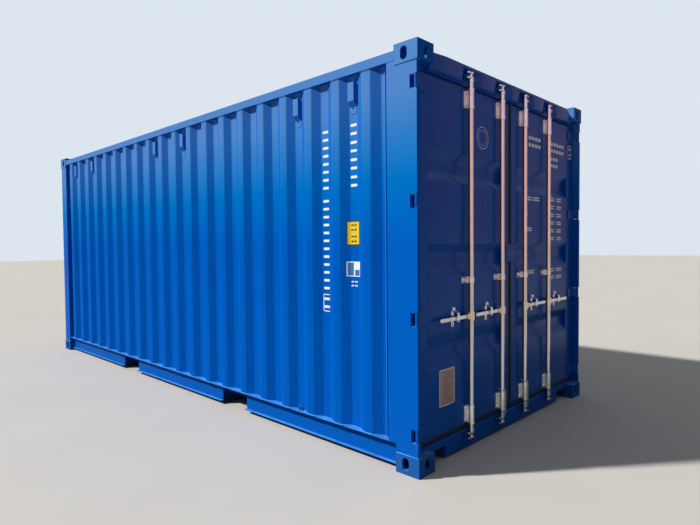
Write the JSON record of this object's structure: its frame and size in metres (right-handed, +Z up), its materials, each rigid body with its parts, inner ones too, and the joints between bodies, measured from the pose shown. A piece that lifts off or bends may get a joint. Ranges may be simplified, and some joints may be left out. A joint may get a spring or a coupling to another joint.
{
  "type": "shipping container",
  "caption": "Blue corrugated steel freight container with double end doors, locking rods and handles, fork pockets and corner castings.",
  "frame": {"origin": "middle of the footprint on the ground, under the bottom castings", "axes": "+X along the length to the door end, +Y across the width to the right door's side as its X direction is faced from outside, +Z up"},
  "size_m": [6.058, 2.438, 2.591],
  "materials": {
    "casting_paint": "semi-gloss",
    "frame_paint": "gloss",
    "end_paint": "gloss",
    "wall_paint": "gloss",
    "roof_paint": "gloss",
    "door_paint": "gloss",
    "underframe_paint": "satin",
    "vent_paint": "satin",
    "floor_wood": "matte",
    "gasket_rubber": "matte",
    "pin_steel": "satin",
    "rod_steel": "satin",
    "bracket_steel": "satin",
    "handle_steel": "satin",
    "catch_steel": "satin",
    "data_plate_metal": "satin",
    "rope_fibre": "matte"
  },
  "bodies": {
    "container": {"castings_top": "casting_paint", "castings_bottom": "casting_paint", "front_posts": "frame_paint", "rear_posts": "frame_paint", "hinge_pins": "pin_steel", "top_side_rails": "frame_paint", "bottom_side_rails": "frame_paint", "front_top_rail": "frame_paint", "front_bottom_rail": "frame_paint", "door_header": "end_paint", "door_sill": "end_paint", "side_wall_left": "wall_paint", "side_wall_right": "wall_paint", "front_wall": "wall_paint", "roof_panel": "roof_paint", "floor_boards": "floor_wood", "cross_members": "underframe_paint", "fork_pocket_plates": "underframe_paint", "vents_left": "vent_paint", "vents_right": "vent_paint", "cam_keepers": "frame_paint", "tie_back_hooks": "frame_paint"},
    "door_left": {"door_frame_left": "door_paint", "door_panel_left": "door_paint", "door_gasket_left": "gasket_rubber", "hinge_blades_left": "door_paint", "rod_brackets_left": "bracket_steel", "handle_retainers_left": "bracket_steel", "data_plate": "data_plate_metal", "tie_rope_left": "rope_fibre"},
    "door_right": {"door_frame_right": "door_paint", "door_panel_right": "door_paint", "door_gasket_right": "gasket_rubber", "hinge_blades_right": "door_paint", "rod_brackets_right": "bracket_steel", "handle_retainers_right": "bracket_steel", "lap_plate": "door_paint", "tie_rope_right": "rope_fibre"},
    "lock_rod_1": {"lock_rod_1": "rod_steel"},
    "handle_1": {"handle_1": "handle_steel"},
    "catch_1": {"catch_1": "catch_steel"},
    "lock_rod_2": {"lock_rod_2": "rod_steel"},
    "handle_2": {"handle_2": "handle_steel"},
    "catch_2": {"catch_2": "catch_steel"},
    "lock_rod_3": {"lock_rod_3": "rod_steel"},
    "handle_3": {"handle_3": "handle_steel"},
    "catch_3": {"catch_3": "catch_steel"},
    "lock_rod_4": {"lock_rod_4": "rod_steel"},
    "handle_4": {"handle_4": "handle_steel"},
    "catch_4": {"catch_4": "catch_steel"}
  },
  "joints": [
    {"name": "door_left_hinge", "type": "hinge", "parent": "container", "child": "door_left", "pos_m": [3.006, -1.2, 1.3], "axis": [0, 0, -1], "range_deg": [0, 260]},
    {"name": "door_right_hinge", "type": "hinge", "parent": "container", "child": "door_right", "pos_m": [3.006, 1.2, 1.3], "axis": [0, 0, 1], "range_deg": [0, 260]},
    {"name": "rod_1_turn", "type": "hinge", "parent": "door_left", "child": "lock_rod_1", "pos_m": [3.003, -0.6, 1.3], "axis": [0, 0, -1], "range_deg": [-110, 0]},
    {"name": "handle_1_lift", "type": "hinge", "parent": "lock_rod_1", "child": "handle_1", "pos_m": [3.003, -0.642, 0.912], "axis": [1, 0, 0], "range_deg": [-6, 0]},
    {"name": "catch_1_swing", "type": "hinge", "parent": "door_left", "child": "catch_1", "pos_m": [2.982, -0.778, 0.968], "axis": [-1, 0, 0], "range_deg": [-90, 0]},
    {"name": "rod_2_turn", "type": "hinge", "parent": "door_left", "child": "lock_rod_2", "pos_m": [3.003, -0.178, 1.3], "axis": [0, 0, -1], "range_deg": [-110, 0]},
    {"name": "handle_2_lift", "type": "hinge", "parent": "lock_rod_2", "child": "handle_2", "pos_m": [3.003, -0.22, 0.912], "axis": [1, 0, 0], "range_deg": [-6, 0]},
    {"name": "catch_2_swing", "type": "hinge", "parent": "door_left", "child": "catch_2", "pos_m": [2.982, -0.356, 0.968], "axis": [-1, 0, 0], "range_deg": [-90, 0]},
    {"name": "rod_3_turn", "type": "hinge", "parent": "door_right", "child": "lock_rod_3", "pos_m": [3.003, 0.178, 1.3], "axis": [0, 0, 1], "range_deg": [-110, 0]},
    {"name": "handle_3_lift", "type": "hinge", "parent": "lock_rod_3", "child": "handle_3", "pos_m": [3.003, 0.22, 0.912], "axis": [-1, 0, 0], "range_deg": [-6, 0]},
    {"name": "catch_3_swing", "type": "hinge", "parent": "door_right", "child": "catch_3", "pos_m": [2.982, 0.356, 0.968], "axis": [1, 0, 0], "range_deg": [-90, 0]},
    {"name": "rod_4_turn", "type": "hinge", "parent": "door_right", "child": "lock_rod_4", "pos_m": [3.003, 0.6, 1.3], "axis": [0, 0, 1], "range_deg": [-110, 0]},
    {"name": "handle_4_lift", "type": "hinge", "parent": "lock_rod_4", "child": "handle_4", "pos_m": [3.003, 0.642, 0.912], "axis": [-1, 0, 0], "range_deg": [-6, 0]},
    {"name": "catch_4_swing", "type": "hinge", "parent": "door_right", "child": "catch_4", "pos_m": [2.982, 0.778, 0.968], "axis": [1, 0, 0], "range_deg": [-90, 0]}
  ]
}
